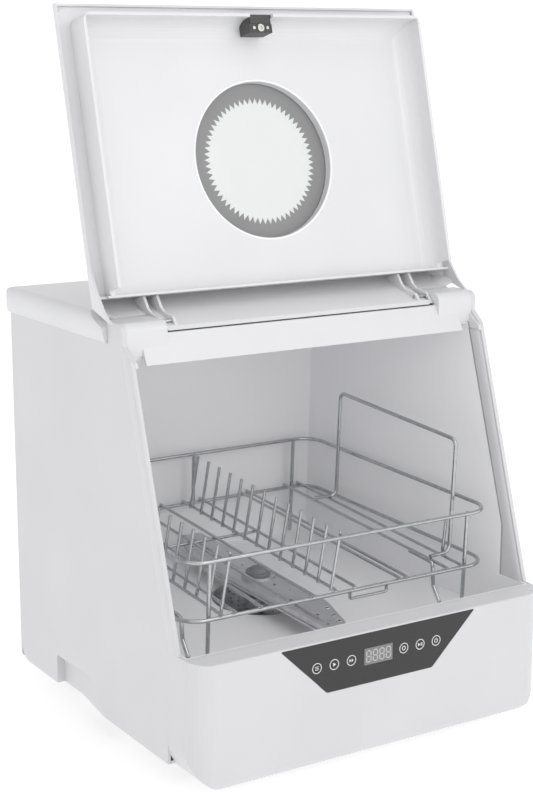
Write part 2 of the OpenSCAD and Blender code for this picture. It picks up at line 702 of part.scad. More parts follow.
module sump() color(grey) difference() {
    union() {
        on_floor() {
            translate([0, 0, -well_depth - sump_h]) cylinder(h = sump_h, r1 = sump_r - 8, r2 = sump_r);
            // flange under the tub's collar
            translate([0, 0, -collar_h - 3]) cylinder(h = 3, r = well_r + tub_wall);
        }
        translate([arm_x, arm_y, pump_z]) rotate([0, 90, 0]) cylinder(h = 56, r = 11);
        translate([arm_x - 50, arm_y, pump_z]) rotate([0, 90, 0]) cylinder(h = 50, r = 9);
    }
    on_floor() {
        translate([0, 0, -well_depth - sump_h + 2]) cylinder(h = sump_h + well_depth, r1 = sump_r - 10, r2 = sump_r - 2);
        translate([0, 0, -well_depth - sump_h - 20]) cylinder(h = 26, r = 9);
    }
    translate([arm_x + 20, arm_y, pump_z]) rotate([0, 90, 0]) cylinder(h = 40, r = 9);
    translate([arm_x - 51, arm_y, pump_z]) rotate([0, 90, 0]) cylinder(h = 31, r = 7);
}

// Ring-shaped heating element on the bottom of the sump
module heater() color(steel) on_floor() translate([0, 0, -well_depth - sump_h + 2 + seat + heater_r])
    rotate_extrude(angle = 330) translate([sump_r - 17, 0]) circle(heater_r, $fn = 24);

filter_r = well_r - 1;

module filter() color(steel) on_floor() difference() {
    union() {
        translate([0, 0, -well_depth + seat]) cylinder(h = 2, r = filter_r);
        // raised bead round the coarse strainer
        translate([0, 0, -well_depth + 2 + seat]) rotate_extrude() translate([filter_r - 6, 0]) square([4, 2]);
        translate([0, 0, -well_depth + 2 + seat]) cylinder(h = 6, r = 15);
    }
    translate([0, 0, -well_depth]) cylinder(h = 20, r = riser_r + 0.6);
    for (ring = [22, 30, 38], i = [0 : ring / 2 - 1]) rotate(i * 720 / ring)
        translate([ring, 0, -well_depth]) cylinder(h = 6, r = 1.6, $fn = 16);
}

riser_r = 8;

// Pipe that carries water from the pump up through the sump to the arm's hub
module spray_feed_pipe() color(grey) difference() {
    union() {
        on_floor() translate([0, 0, -well_depth - sump_h - 8]) cylinder(h = well_depth + sump_h + 8 + arm_rise - 1, r = riser_r);
        on_floor() translate([0, 0, arm_rise - 3]) cylinder(h = 2, r = riser_r + 4);
    }
    on_floor() translate([0, 0, -well_depth - sump_h - 10]) cylinder(h = 120, r = riser_r - 2);
}

module spray_pump_volute() color(grey) {
    translate([arm_x + 56.5, arm_y, pump_z]) rotate([0, 90, 0]) cylinder(h = 20, r = 28);
    translate([arm_x + 66, arm_y - 22, pump_z - 26]) rotate([0, -90, 0]) cylinder(h = 60, r = 8);
}

module spray_pump_motor() color(steel) translate([arm_x + 76.5, arm_y, pump_z]) rotate([0, 90, 0]) {
    cylinder(h = 62, r = motor_r);
    translate([0, 0, 62]) cylinder(h = 4, r1 = motor_r, r2 = motor_r - 5);
    translate([0, 0, 66]) cylinder(h = 5, r = 6);
}

module drain_pump() color([0.3, 0.45, 0.6]) {
    translate([arm_x - 50.5, arm_y, pump_z]) rotate([0, -90, 0]) {
        cylinder(h = 22, r = 20.5);
        translate([0, 0, 22]) cylinder(h = 34, r = 18);
    }
    translate([arm_x - 61, arm_y, pump_z - 14]) rotate([-90, 0, 0]) cylinder(h = 34, r = 7);
}

hose_y = arm_y + 34;

module drain_hose() color(rubber) wire([
    [arm_x - 61, hose_y + 0.3, pump_z - 14], [arm_x - 61, hose_y + 40, pump_z - 14],
    [drain_at.x, hose_y + 62, drain_at.y], [drain_at.x, back_y - 14.3, drain_at.y]], 7, 20);

module drain_spigot() color(grey) translate([drain_at.x, back_y - 14, drain_at.y]) rotate([-90, 0, 0]) {
    cylinder(h = 14 + 26, r = drain_r);
    translate([0, 0, 14 - back_wall - 3.3]) cylinder(h = 3, r = drain_r + 4);
    translate([0, 0, 14.3]) cylinder(h = 2.7, r = drain_r + 4);
}

module inlet_valve() color(bright) translate([inlet_at.x, back_y, inlet_at.y]) rotate([-90, 0, 0]) {
    translate([0, 0, -46]) cylinder(h = 47, r = 10.6);
    translate([0, 0, 0.3]) cylinder(h = 3, r = 16);
    translate([0, 0, 3.3]) difference() { cylinder(h = 14, r = inlet_r); translate([0, 0, 2]) cylinder(h = 14, r = 9); }
    translate([-12, -40, -44]) cube([24, 32, 26]);
}

module inlet_hose() color(rubber) wire([
    [inlet_at.x, back_y - 46.3, inlet_at.y], [inlet_at.x, back_y - 90, inlet_at.y],
    [inlet_at.x - 34, back_y - 128, inlet_at.y - 18], [inlet_at.x - 92, back_y - 128, inlet_at.y - 18]], 6, 18);

module cord_gland() color(rubber) translate([gland_at.x, back_y, gland_at.y]) rotate([-90, 0, 0]) difference() {
    union() {
        translate([0, 0, -back_wall - 4]) cylinder(h = back_wall + 4, r = 7);
        translate([0, 0, 0.3]) cylinder(h = 3, r = 10);
        translate([0, 0, -0.5]) cylinder(h = 1, r = 7);
        translate([0, 0, 3.3]) cylinder(h = 6, r1 = 7, r2 = 5.5);
        translate([0, 0, -back_wall - 4]) cylinder(h = 3.5, r = 9.5);
    }
    translate([0, 0, -10]) cylinder(h = 30, r = 3.3);
}

module power_board() color([0.16, 0.36, 0.24]) translate([39 - cab_half, return_y + foot_set + 9, side_bottom + base_t]) {
    cube([70, 90, 6]);
    translate([8, 12, 6]) cube([30, 34, 26]);
    translate([46, 10, 6]) cylinder(h = 22, r = 8);
    translate([46, 34, 6]) cylinder(h = 22, r = 8);
    translate([10, 58, 6]) cube([50, 20, 16]);
}

module float_switch() color(bright) translate([110, return_y + 50, side_bottom + base_t]) difference() {
    union() { cylinder(h = 3, r = 20); cylinder(h = 24, r = 15); }
    translate([0, 0, 3]) cylinder(h = 22, r = 12.5);
}

module panel_screws() color(steel) for (at = screw_at) translate([at.x, back_y, at.y]) rotate([-90, 0, 0]) difference() {
    union() {
        cylinder(h = 2.2, r1 = 4, r2 = 3);
        translate([0, 0, -back_wall - 6]) cylinder(h = back_wall + 6, r = 1.5, $fn = 24);
    }
    for (a = [0, 90]) rotate(a) translate([-2, -0.45, 1]) cube([4, 0.9, 2]);
}

// ---- lid --------------------------------------------------------------------------------

chin = [26.3, -lid_depth];    // where the shell turns down towards the hinge
chin_r = 40;
tip_slant = 8;                // the front wall of the lid leans by this much
arm_rib = [block_inner - 18.6, block_inner - 3.6];   // inner faces of the two ribs of a hinge arm
rib_t = 3;
notch_x = block_inner - 5.6;  // the shell is cut back round the blocks outside this line
notch_z = block_top - 2.8;    // lowest point of the shell outside this line
block_clear = 22.8;           // the shell keeps this far from the pins' line, past the blocks

// Side view of the solid lid: s against n
module lid_profile() polygon(rounded([
    [lid_reach, 0, 0], [lid_reach + tip_slant, -lid_depth, 8], [chin.x, chin.y, chin_r], [tail.x, tail.y, 0],
    [-6, 34.5, 0], [2, 30.5, 0], [15, 19.2, 14], [35, 9, 30], [61, 0, 40]]));

module lid_hollow() {
    w = lid_wall;
    polygon(rounded([
        [lid_reach - w, 60, 0], [lid_reach - w, 0, 0], [lid_reach + tip_slant - w, -lid_depth + w, 6],
        [chin.x + 0.6 * w, chin.y + w, chin_r - w], [tail.x + 0.98 * w, tail.y + 0.3 * w, 0], [tail.x + 0.98 * w - 6.6, tail.y + 23.6, 0]]));
}

module lid_plan() polygon(rounded([
    [-lid_half, -60, 0], [lid_half, -60, 0],
    [lid_half, lid_reach + tip_slant, lid_corner], [-lid_half, lid_reach + tip_slant, lid_corner]]));

// One rib of a hinge arm: s against n
module arm_profile() polygon([
    [-9.3, 35.6], [-3.8, 37.5], [2.7, 32.7], [5.5, 23.7], [11, 12], [16, 7], [28.6, 1.5], [28.6, -lid_depth + 1.5],
    [36, -lid_depth + 1], [20, -19]]);

module past_blocks() both_sides() {
    translate([notch_x, pin_y - 120, notch_z - 120]) cube([100, 320, 120]);
    translate([notch_x, pin_y, pin_z]) rotate([0, 90, 0])
        cylinder(h = lid_half - lid_wall - 0.2 - notch_x, r = block_clear, $fn = 64);
}

// Section of the lid across its width, a wall w inside the outside
module lid_section(w) {
    lean = atan(lid_draw / (lid_depth - skirt_flat));
    x1 = lid_half - w / cos(lean) - (lid_depth - skirt_flat + cut) * tan(lean);
    n1 = -skirt_flat + (w / cos(lean) - w) / tan(lean);
    polygon(rounded([[w - lid_half, 60, 0], [lid_half - w, 60, 0], [lid_half - w, n1, w > 0 ? 0 : 6],
        [x1, -lid_depth - cut, w > 0 ? 0 : 20], [-x1, -lid_depth - cut, w > 0 ? 0 : 20], [w - lid_half, n1, w > 0 ? 0 : 6]]));
}

// The same across the turned-in end by the hinge, measured up from its outer face
module tail_section(w) {
    rise = 7;
    up = w * norm([lid_draw, rise]) / lid_draw;
    function x_at(m) = lid_half - lid_draw + (m - up) * lid_draw / rise;
    m1 = rise + up - w * rise / lid_draw;
    polygon([[w - lid_half, 400], [lid_half - w, 400], [lid_half - w, m1], [x_at(-5), -5], [-x_at(-5), -5], [w - lid_half, m1]]);
}

module lid_sides(w) intersection() {
    along(-80, 400) lid_section(w);
    translate([0, tail.x, tail.y]) rotate([atan2(chin.y - tail.y, chin.x - tail.x), 0, 0]) along(-60, 420) tail_section(w);
}

module lid_shell() color(bright) difference() {
    union() {
        difference() {
            in_lid() intersection() {
                across_lid(-lid_half, lid_half) lid_profile();
                translate([0, 0, -lid_depth - cut]) linear_extrude(100) lid_plan();
                lid_sides(0);
            }
            in_lid() intersection() {
                across_lid(-lid_half + lid_wall, lid_half - lid_wall) lid_hollow();
                translate([0, 0, -lid_depth - cut]) linear_extrude(120) offset_plan(lid_wall);
                lid_sides(lid_wall);
            }
            past_blocks();
        }
        // hinge arms
        in_lid() both_sides() for (x = arm_rib) across_lid(x, x + rib_t) intersection() {
            arm_profile();
            lid_profile();
        }
        in_lid() both_sides() across_lid(arm_rib[0], arm_rib[1] + rib_t) intersection() {
            polygon([[-9.3, 35.6], [-3.8, 37.5], [-1.2, 35.5], [-6.7, 33.2]]);
            lid_profile();
        }
    }
    // bores for the pins
    both_sides() translate([arm_rib[0] - cut, pin_y, pin_z]) rotate([0, 90, 0])
        cylinder(h = arm_rib[1] + rib_t - arm_rib[0] + 2 * cut, r = pin_r + pin_fit, $fn = 32);
    // opening for the window
    in_lid() translate([0, window_s, -lid_depth - cut]) cylinder(h = lid_wall + 2 * cut, r = window_r, $fn = 96);
}

// s-n outline extruded across the lid
module across_lid(x0, x1) translate([x0, 0, 0]) rotate([90, 0, 90]) linear_extrude(x1 - x0) children();

module offset_plan(w) polygon(rounded([
    [-lid_half + w, -60, 0], [lid_half - w, -60, 0],
    [lid_half - w, lid_reach + tip_slant - w, lid_corner - w], [-lid_half + w, lid_reach + tip_slant - w, lid_corner - w]]));

liner_face = -2.5;            // face of the liner's tray
liner_t = 2.5;
low_wall = 9;                 // height of the liner's wall on the hinge side
plate_half = lid_half - lid_wall;            // the liner's plate ends at the inside of the shell
plate_end = lid_reach - lid_wall + tip_slant * -liner_face / lid_depth;

module lid_liner() color(bright) in_lid() difference() {
    union() {
        // plate that closes the shell, up to its skirts
        translate([0, 0, liner_face - liner_t]) linear_extrude(liner_t) polygon(rounded([
            [seam - plate_half, liner_start, 0], [plate_half - seam, liner_start, 0],
            [plate_half - seam, plate_end, lid_corner - lid_wall], [seam - plate_half, plate_end, lid_corner - lid_wall]]));
        // wall that closes the hinge end from skirt to skirt
        translate([0, 0, liner_face]) linear_extrude(low_wall - liner_face)
            translate([seam - plate_half, liner_start]) square([2 * (plate_half - seam), 2.5]);
        translate([0, 0, liner_face - liner_t]) linear_extrude(liner_h - liner_face + liner_t) polygon(rounded([
            [-liner_half, liner_start, 6], [liner_half, liner_start, 6], [liner_half, liner_end, 10], [-liner_half, liner_end, 10]]));
    }
    // tray with coved sides
    intersection() {
        across_lid(-liner_half + liner_rim, liner_half - liner_rim) polygon(rounded([
            [liner_start + 2.5, liner_face, 4], [liner_start + 2.5, 60, 0],
            [liner_end - liner_rim, 60, 0], [liner_end - liner_rim, liner_face, liner_tip_cove]]));
        along(liner_start, liner_end) polygon(rounded([
            [-liner_half + liner_rim, liner_face, liner_cove], [liner_half - liner_rim, liner_face, liner_cove],
            [liner_half - liner_rim, 60, 0], [-liner_half + liner_rim, 60, 0]]));
    }
    // the end wall is lower where it closes over the rim
    both_sides() translate([tub_half - 1.5, liner_start - cut, low_wall - 4.5]) cube([30, 10, 60]);
    // the frame stays low where the header strip closes in front of it
    translate([-lid_half, liner_start - cut, low_wall]) cube([2 * lid_half, 37 - liner_start + cut, 60]);
    translate([-header_half - 3, liner_start - cut, low_wall]) cube([2 * header_half + 6, 48 - liner_start + cut, 60]);
    translate([0, window_s, -20]) cylinder(h = 40, r = window_r, $fn = 96);
    // seat for the latch housing
    translate([-latch_w / 2 - 0.2, liner_end - latch_h - 0.2, liner_face + 6]) cube([latch_w + 0.4, latch_h + 1.2, 60]);
}

pane_n = -15;                 // back face of the window pane

module window_frame() color(bright) in_lid() translate([0, window_s, 0]) rotate_extrude($fn = 96) polygon([
    [window_r + 0.3, -lid_depth + lid_wall], [window_r + 8, -lid_depth + lid_wall], [window_r + 8, liner_face - liner_t],
    [window_r + 0.3, liner_face - liner_t], [window_r + 0.3, pane_n + pane_t],
    [window_r + 3.2, pane_n + pane_t], [window_r + 3.2, pane_n], [window_r + 0.3, pane_n]]);

module window_pane() color([0.85, 0.9, 0.92, 0.3]) in_lid() translate([0, window_s, pane_n]) cylinder(h = pane_t, r = window_r + 3.1, $fn = 96);

// Sawtooth outline of the printed ring's inner edge
module window_print() color(grey) in_lid() translate([0, window_s, pane_n + pane_t]) linear_extrude(print_t) difference() {
    circle(print_r, $fn = 96);
    polygon([for (i = [0 : 2 * teeth - 1]) let (a = i * 180 / teeth, r = i % 2 == 0 ? tooth_tip : tooth_root) r * [cos(a), sin(a)]]);
}

latch_w = 28;
latch_h = 19;

module latch_housing() color(dark) in_lid() difference() {
    translate([-latch_w / 2, liner_end - latch_h, liner_face + 6]) cube([latch_w, latch_h, liner_h - liner_face - 10.7]);
    // relief of the lower half, where the screw sits
    translate([-latch_w / 2 + 1.6, liner_end - latch_h - cut, liner_h - 5.2]) cube([latch_w - 3.2, 9.6 + cut, 10]);
    translate([0, liner_end - latch_h + 5, liner_h - 12]) cylinder(h = 20, r = 1.6, $fn = 24);
    both_sides() translate([latch_w / 2 - 1.5, liner_end - 10, liner_h - 6]) cube([3, 6, 10]);
}

module latch_screw() color(steel) in_lid() translate([0, liner_end - latch_h + 5, liner_h - 5.2]) {
    difference() {
        cylinder(h = 1.4, r = 4, $fn = 32);
        translate([0, 0, 0.5]) cylinder(h = 3, r = 1.9, $fn = 32);
    }
    translate([0, 0, -6.7]) cylinder(h = 6.8, r = 1.5, $fn = 24);
    both_sides() translate([8.3, 0, 0]) cylinder(h = 1.2, r = 1.7, $fn = 24);
}

// ---- spray arm --------------------------------------------------------------------------

// Plan of the blade, from one tip to the other
module arm_plan(g) polygon(rounded([for (turn = [0, 180], p = [
    [arm_w / 2 - 2 - g, 0, 60], [arm_tip_w / 2 + 2 - g, arm_reach - g, 5], [2 - arm_tip_w / 2 + g, arm_reach - g, 5],
    [-arm_w / 2 + g, arm_reach * 0.62, 40]]) [p.x * cos(turn) - p.y * sin(turn), p.x * sin(turn) + p.y * cos(turn), p.z]]));

module in_arm() on_floor() translate([0, 0, arm_rise]) rotate(arm_turn) children();

nozzle_at = [[7, 150], [6, 128], [-8, 104], [8, 80], [-7, 56], [0, 34]];

module spray_arm() color(steel) in_arm() difference() {
    union() {
        translate([0, 0, 0]) linear_extrude(2) arm_plan(0);
        translate([0, 0, 2]) linear_extrude(arm_t - 5) arm_plan(1.6);
        // ridge along the blade
        translate([0, 0, arm_t - 3]) linear_extrude(2.2) polygon([
            [-9, -arm_reach + 22], [-2, -arm_reach + 10], [5, -arm_reach + 16], [10, 0],
            [9, arm_reach - 22], [2, arm_reach - 10], [-5, arm_reach - 16], [-10, 0]]);
        cylinder(h = arm_t + 1, r = hub_r);
    }
    for (turn = [0, 180]) rotate(turn) for (at = nozzle_at)
        translate([at.x, at.y, arm_t - 5]) cylinder(h = 10, r = 1.7, $fn = 20);
    translate([0, 0, -cut]) cylinder(h = 8 + cut, r = riser_r + seat);
    translate([0, 0, -cut]) cylinder(h = 30, r = 4.4);
}

module spray_arm_cap() color(grey) in_arm() translate([0, 0, arm_t + 1]) {
    cylinder(h = 3, r = 14);
    translate([0, 0, 3]) cylinder(h = 4, r1 = 11, r2 = 8);
    translate([0, 0, -8]) cylinder(h = 8, r = 4.2);
}

// ---- basket -----------------------------------------------------------------------------

// Frame of the basket: origin on the floor line at the front wires, z square to the floor
module in_basket() translate([0, basket_front, floor_at(basket_front)]) rotate([floor_rise, 0, 0]) children();

basket_front_half = tub_half - basket_side_room;
basket_back_half = basket_front_half - basket_taper;
basket_front = tub_front + basket_front_room;
basket_back = tub_back - basket_back_room;
basket_len = basket_back - basket_front;
function side_x(y) = basket_front_half + (basket_back_half - basket_front_half) * y / basket_len;

module ring(z) wire([
    [-basket_front_half, 0, z], [basket_front_half, 0, z],
    [basket_back_half, basket_len, z], [-basket_back_half, basket_len, z]], wire_r, basket_corner, true);

module basket_top_ring() color(steel) in_basket() ring(ring_low + ring_gap);
module basket_bottom_ring() color(steel) in_basket() ring(ring_low);

post_x = basket_front_half - 31.5;
lean_foot = 4;                // feet of the posts above the floor

// Posts stand inside the rings and run down to the floor at the front
module basket_posts() color(steel) in_basket() {
    inset = 2 * wire_r - 0.1;
    for (x = [-post_x, post_x]) rod([x, inset, seat], [x, inset, ring_low + ring_gap + 0.5], wire_r);
    for (x = [-post_x + 21, 0, post_x - 21])
        rod([x, basket_len - inset, ring_low - 1], [x, basket_len - inset, ring_low + ring_gap + 0.5], wire_r);
    for (x = [-post_x + 21, post_x - 21]) rod([x, basket_len - inset, 4.8], [x, basket_len - inset, ring_low - 1], wire_r);
}

// Floor wires lie on the lower ring, each at its share of the ring's half width
floor_wire_x = [for (share = [-0.777, -0.694, -0.534, -0.373, -0.212, -0.057, 0.066, 0.358, 0.407, 0.689, 0.79])
    share * basket_front_half];
function over() = ring_low + wire_r + tine_r - 0.1;

module basket_floor_wires() color(steel) in_basket() {
    for (x = floor_wire_x) rod([x, abs(x) < latch_w / 2 + 2 ? 1.2 : -2.5, over()], [x, basket_len + 1.5, over()], tine_r);
}

// One wire under the middle of the floor, and a staple under the front ring
module basket_cross_wires() color(steel) in_basket() {
    mid = over() - 2 * tine_r + 0.1;
    rod([floor_wire_x[2] - 3, basket_len * 0.62, mid], [floor_wire_x[6] + 3, basket_len * 0.62, mid], tine_r);
    left = floor_wire_x[6] - 6;
    wire([[left, 0, ring_low - wire_r + 0.08], [left, 0, ring_low - 9], [left + 47, 0, ring_low - 9], [left + 47, 0, ring_low - wire_r + 0.08]],
        tine_r, 3);
}

tine_lean = 9;

module basket_tines() color(steel) in_basket() {
    beside = 2 * tine_r - 0.1;
    for (row = [floor_wire_x[0] + beside, floor_wire_x[5] - beside], i = [0 : tine_count - 1])
        let (y = 5 + i * (basket_len - 28.5) / (tine_count - 1))
            rod([row, y, over() - 1], [row + tine_lean, y, ring_low + tine_h], tine_r);
    // one short tine on the right of the bowl
    short = floor_wire_x[10] + beside;
    rod([short, 36, over() - 1], [short + 3, 36, ring_low + 46], tine_r);
}

loop_x = basket_front_half - 32.5;
loop_y = [30, 250];

module basket_bowl_loop() color(steel) in_basket() {
    foot = over() + tine_r + wire_r - 0.1;
    wire([[floor_wire_x[9] - 1, loop_y[0] - 3, foot], [loop_x, loop_y[0], foot], [loop_x, loop_y[0], ring_low + loop_h],
        [loop_x, loop_y[1], ring_low + loop_h], [loop_x, loop_y[1], foot], [floor_wire_x[9] - 1, loop_y[1] + 3, foot]],
        wire_r, 8);
}

// Two bent wires at the front stand on the floor: one beside the ring, one beside a floor wire
module leg(x, z) wire([[x, 60, z], [x, 19, z], [x, 15, ring_low - 22], [x, 3, ring_low - 36], [x, 3, seat + 0.6]], wire_r, 4);

module basket_legs() color(steel) in_basket() {
    leg(-side_x(60) + 2 * wire_r - 0.1, ring_low);
    leg(floor_wire_x[9] - wire_r - tine_r + 0.06, over());
}

// ---- parts shown ------------------------------------------------------------------------

front_fascia();
side_panel_left();
side_panel_right();
back_panel();
base_tray();
feet();
top_cover();
opening_header();
hinge_pins();
tub();
tub_gasket();
control_panel();
key_rings();
display_window();
display_digits();
control_board();
catch_magnet();
reed_switch();
sump();
filter();
heater();
spray_feed_pipe();
spray_pump_volute();
spray_pump_motor();
drain_pump();
drain_hose();
drain_spigot();
inlet_valve();
inlet_hose();
cord_gland();
power_board();
float_switch();
panel_screws();
lid_shell();
lid_liner();
window_frame();
window_pane();
window_print();
latch_housing();
latch_screw();
spray_arm();
spray_arm_cap();
basket_top_ring();
basket_bottom_ring();
basket_posts();
basket_floor_wires();
basket_cross_wires();
basket_tines();
basket_bowl_loop();
basket_legs();
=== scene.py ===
"""Finishes and detail for a countertop dishwasher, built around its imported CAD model."""
import math

import bmesh
import bpy
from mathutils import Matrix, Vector


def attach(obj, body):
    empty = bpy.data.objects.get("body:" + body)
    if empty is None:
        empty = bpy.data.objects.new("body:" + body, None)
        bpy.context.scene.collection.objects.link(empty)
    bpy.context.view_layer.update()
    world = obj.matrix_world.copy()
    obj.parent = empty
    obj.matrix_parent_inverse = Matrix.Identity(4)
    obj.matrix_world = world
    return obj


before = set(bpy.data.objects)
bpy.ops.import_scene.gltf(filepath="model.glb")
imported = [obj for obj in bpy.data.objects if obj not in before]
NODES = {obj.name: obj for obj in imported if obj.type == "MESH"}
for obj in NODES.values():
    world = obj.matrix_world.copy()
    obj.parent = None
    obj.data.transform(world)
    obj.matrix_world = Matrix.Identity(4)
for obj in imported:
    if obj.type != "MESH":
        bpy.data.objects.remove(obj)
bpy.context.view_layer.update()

bl_info = {
    "name": "Countertop Dishwasher Finisher",
    "version": (1, 0, 0),
    "blender": (4, 5, 0),
    "location": "3D View > Sidebar > Dishwasher",
    "description": "Adds finishes, small fittings and a studio to the dishwasher's CAD nodes",
    "category": "Object",
}

MM = 0.001

# All sizes below are in mm unless a comment says otherwise.
# The lid's own frame as it stands open: s runs away from the hinge pins, n towards the liner's side.
PIN_Y, PIN_Z, PIN_N = -49.2, 443.0, 26.97
LID_COS, LID_SIN = 0.9699, 0.2436
# The window: its opening's radius, how far its middle lies from the pins, and where the liner's face is.
WINDOW_R, WINDOW_S, LINER_N = 83.5, 162.6, -2.5
# The tub's floor: its height at one place along Y, and its rise towards the back.
FLOOR_Z, FLOOR_Y, FLOOR_RISE = 94.0, -177.2, math.radians(3.5)
# The spray arm's flat top, which leans with that floor: its height at one place along Y.
ARM_TOP, ARM_TOP_Y = 123.1, -111.1
# Nozzles on the arm: places along X and Y, the rim's radius and thickness, and the radius of the bore's disc
# of painted shade.
NOZZLES = ((9, -92), (3, -112), (0, -128), (-25, 136), (-19, 156), (-16, 172))
NOZZLE_R, RIM_R, BORE_R = 2.5, 0.6, 2.4
NOZZLE_SIDES = 20
# The basket: its front edge, length and half width, its two rings' heights, and its wires' and tines' radii.
BASKET_FRONT, BASKET_LENGTH, BASKET_HALF = -133.5, 322.5, 193.0
RING_LOW, RING_HIGH, WIRE_R, TINE_R = 60.0, 121.0, 2.2, 1.7
# Its floor wires, as shares of the half width, and the tines in a row.
FLOOR_WIRES = (-0.777, -0.694, -0.534, -0.373, -0.212, -0.057, 0.066, 0.358, 0.407, 0.689, 0.79)
TINES, TINE_FIRST, TINE_SPAN, TINE_FOOT = 13, 5, BASKET_LENGTH - 28.5, 1.6
# Weld beads: how much longer than wide they are, and the ripple over them in radians per metre.
BEAD_STRETCH, RIPPLE_X, RIPPLE_Z = 1.25, 2300, 2100
# Finishes: the length of a moulding's drift in tone, and how deep its skin and a steel's lines are.
TONE_DRIFT, SKIN_DEPTH, LINE_DEPTH = 120, 0.05, 0.03
MOULDED_SPREAD, STEEL_SPREAD = 0.03, 0.04
# The studio's floor, in metres: the level part's radius, the curve's radius, the wall's top, and its steps.
FLOOR_R, CURVE_R, WALL_TOP, CURVE_STEPS, FLOOR_STEPS = 5, 1.2, 3.2, 10, 72


def in_lid(x, s, n):
    """A point of the open lid's own frame, in metres."""
    y = PIN_Y + LID_SIN * s - LID_COS * (n - PIN_N)
    z = PIN_Z + LID_COS * s + LID_SIN * (n - PIN_N)
    return (x * MM, y * MM, z * MM)


def hex_linear(code):
    """sRGB hex to linear RGBA."""
    parts = [int(code[i:i + 2], 16) / 255 for i in (1, 3, 5)]
    return tuple(c / 12.92 if c <= 0.04045 else ((c + 0.055) / 1.055) ** 2.4 for c in parts) + (1.0,)


def add(tree, kind, settings=None, links=None, **attributes):
    """Adds one shader node, sets its inputs and attributes, and links its inputs to other sockets."""
    node = tree.nodes.new(kind)
    for name, value in attributes.items():
        setattr(node, name, value)
    for key, value in (settings or {}).items():
        node.inputs[key].default_value = value
    for key, socket in (links or {}).items():
        tree.links.new(socket, node.inputs[key])
    return node


def new_material(name):
    """An empty node material with its output, ready for a shader."""
    mat = bpy.data.materials.new(name)
    mat.use_nodes = True
    mat.node_tree.nodes.clear()
    return mat, mat.node_tree


def close(tree, shader):
    """Links the shader to the material's output."""
    add(tree, "ShaderNodeOutputMaterial", links={"Surface": shader.outputs[0]})


def paint(mat, *names):
    """Puts the material on CAD nodes, replacing what they came with."""
    for name in names:
        mesh = NODES[name].data
        mesh.materials.clear()
        mesh.materials.append(mat)


def moulded(name, colour, shade, rough, grain_mm, bump, specular=0.5, edge=0.5):
    """Moulded plastic: two close tones in slow drifts, a skin of grain_mm, and edges rounded by edge mm."""
    mat, tree = new_material(name)
    where = add(tree, "ShaderNodeTexCoord")
    drift = add(tree, "ShaderNodeTexNoise", {"Scale": 1 / (TONE_DRIFT * MM), "Detail": 2.0},
                {"Vector": where.outputs["Object"]})
    tone = add(tree, "ShaderNodeValToRGB", links={"Fac": drift.outputs["Fac"]})
    tone.color_ramp.elements[0].color = hex_linear(shade)
    tone.color_ramp.elements[0].position = 0.35
    tone.color_ramp.elements[1].color = hex_linear(colour)
    tone.color_ramp.elements[1].position = 0.65
    skin = add(tree, "ShaderNodeTexNoise", {"Scale": 1 / (grain_mm * MM), "Detail": 3.0},
               {"Vector": where.outputs["Object"]})
    gloss = add(tree, "ShaderNodeMapRange",
                {"To Min": rough - MOULDED_SPREAD, "To Max": rough + MOULDED_SPREAD},
                {"Value": skin.outputs["Fac"]})
    round_edge = add(tree, "ShaderNodeBevel", {"Radius": edge * MM}, samples=4)
    relief = add(tree, "ShaderNodeBump", {"Strength": bump, "Distance": SKIN_DEPTH * MM},
                 {"Height": skin.outputs["Fac"], "Normal": round_edge.outputs["Normal"]})
    shader = add(tree, "ShaderNodeBsdfPrincipled", {"IOR": 1.52, "Specular IOR Level": specular},
                 {"Base Color": tone.outputs["Color"], "Roughness": gloss.outputs["Result"],
                  "Normal": relief.outputs["Normal"]})
    close(tree, shader)
    return mat


def steel(name, colour, shade, rough, grain, bump):
    """Steel: fine lines along one direction, where grain is the spacing in mm along X, Y and Z."""
    mat, tree = new_material(name)
    where = add(tree, "ShaderNodeTexCoord")
    stretch = add(tree, "ShaderNodeMapping", {"Scale": tuple(1 / (g * MM) for g in grain)},
                  {"Vector": where.outputs["Object"]})
    lines = add(tree, "ShaderNodeTexNoise", {"Scale": 1.0, "Detail": 4.0},
                {"Vector": stretch.outputs["Vector"]})
    tone = add(tree, "ShaderNodeValToRGB", links={"Fac": lines.outputs["Fac"]})
    tone.color_ramp.elements[0].color = hex_linear(shade)
    tone.color_ramp.elements[0].position = 0.3
    tone.color_ramp.elements[1].color = hex_linear(colour)
    tone.color_ramp.elements[1].position = 0.7
    gloss = add(tree, "ShaderNodeMapRange", {"To Min": rough - STEEL_SPREAD, "To Max": rough + STEEL_SPREAD},
                {"Value": lines.outputs["Fac"]})
    relief = add(tree, "ShaderNodeBump", {"Strength": bump, "Distance": LINE_DEPTH * MM},
                 {"Height": lines.outputs["Fac"]})
    shader = add(tree, "ShaderNodeBsdfPrincipled", {"Metallic": 1.0},
                 {"Base Color": tone.outputs["Color"], "Roughness": gloss.outputs["Result"],
                  "Normal": relief.outputs["Normal"]})
    close(tree, shader)
    return mat


def blob(shape, centre, radius, along, squeeze, jitter):
    """Adds one weld bead to the bmesh: a lump drawn out along a direction and pressed flat by squeeze."""
    made = bmesh.ops.create_icosphere(shape, subdivisions=2, radius=radius)
    turn = Vector(along).to_track_quat("X", "Z").to_matrix()
    for vert in made["verts"]:
        point = vert.co.copy()
        # The phase comes from the bead's place, so that no two beads are alike.
        swell = 1 + jitter * (math.sin(point.x * RIPPLE_X + centre[0] * 900)
                              * math.cos(point.z * RIPPLE_Z + centre[1] * 700))
        lump = Vector((point.x * BEAD_STRETCH, point.y * squeeze, point.z * squeeze))
        vert.co = Vector(centre) + turn @ lump * swell


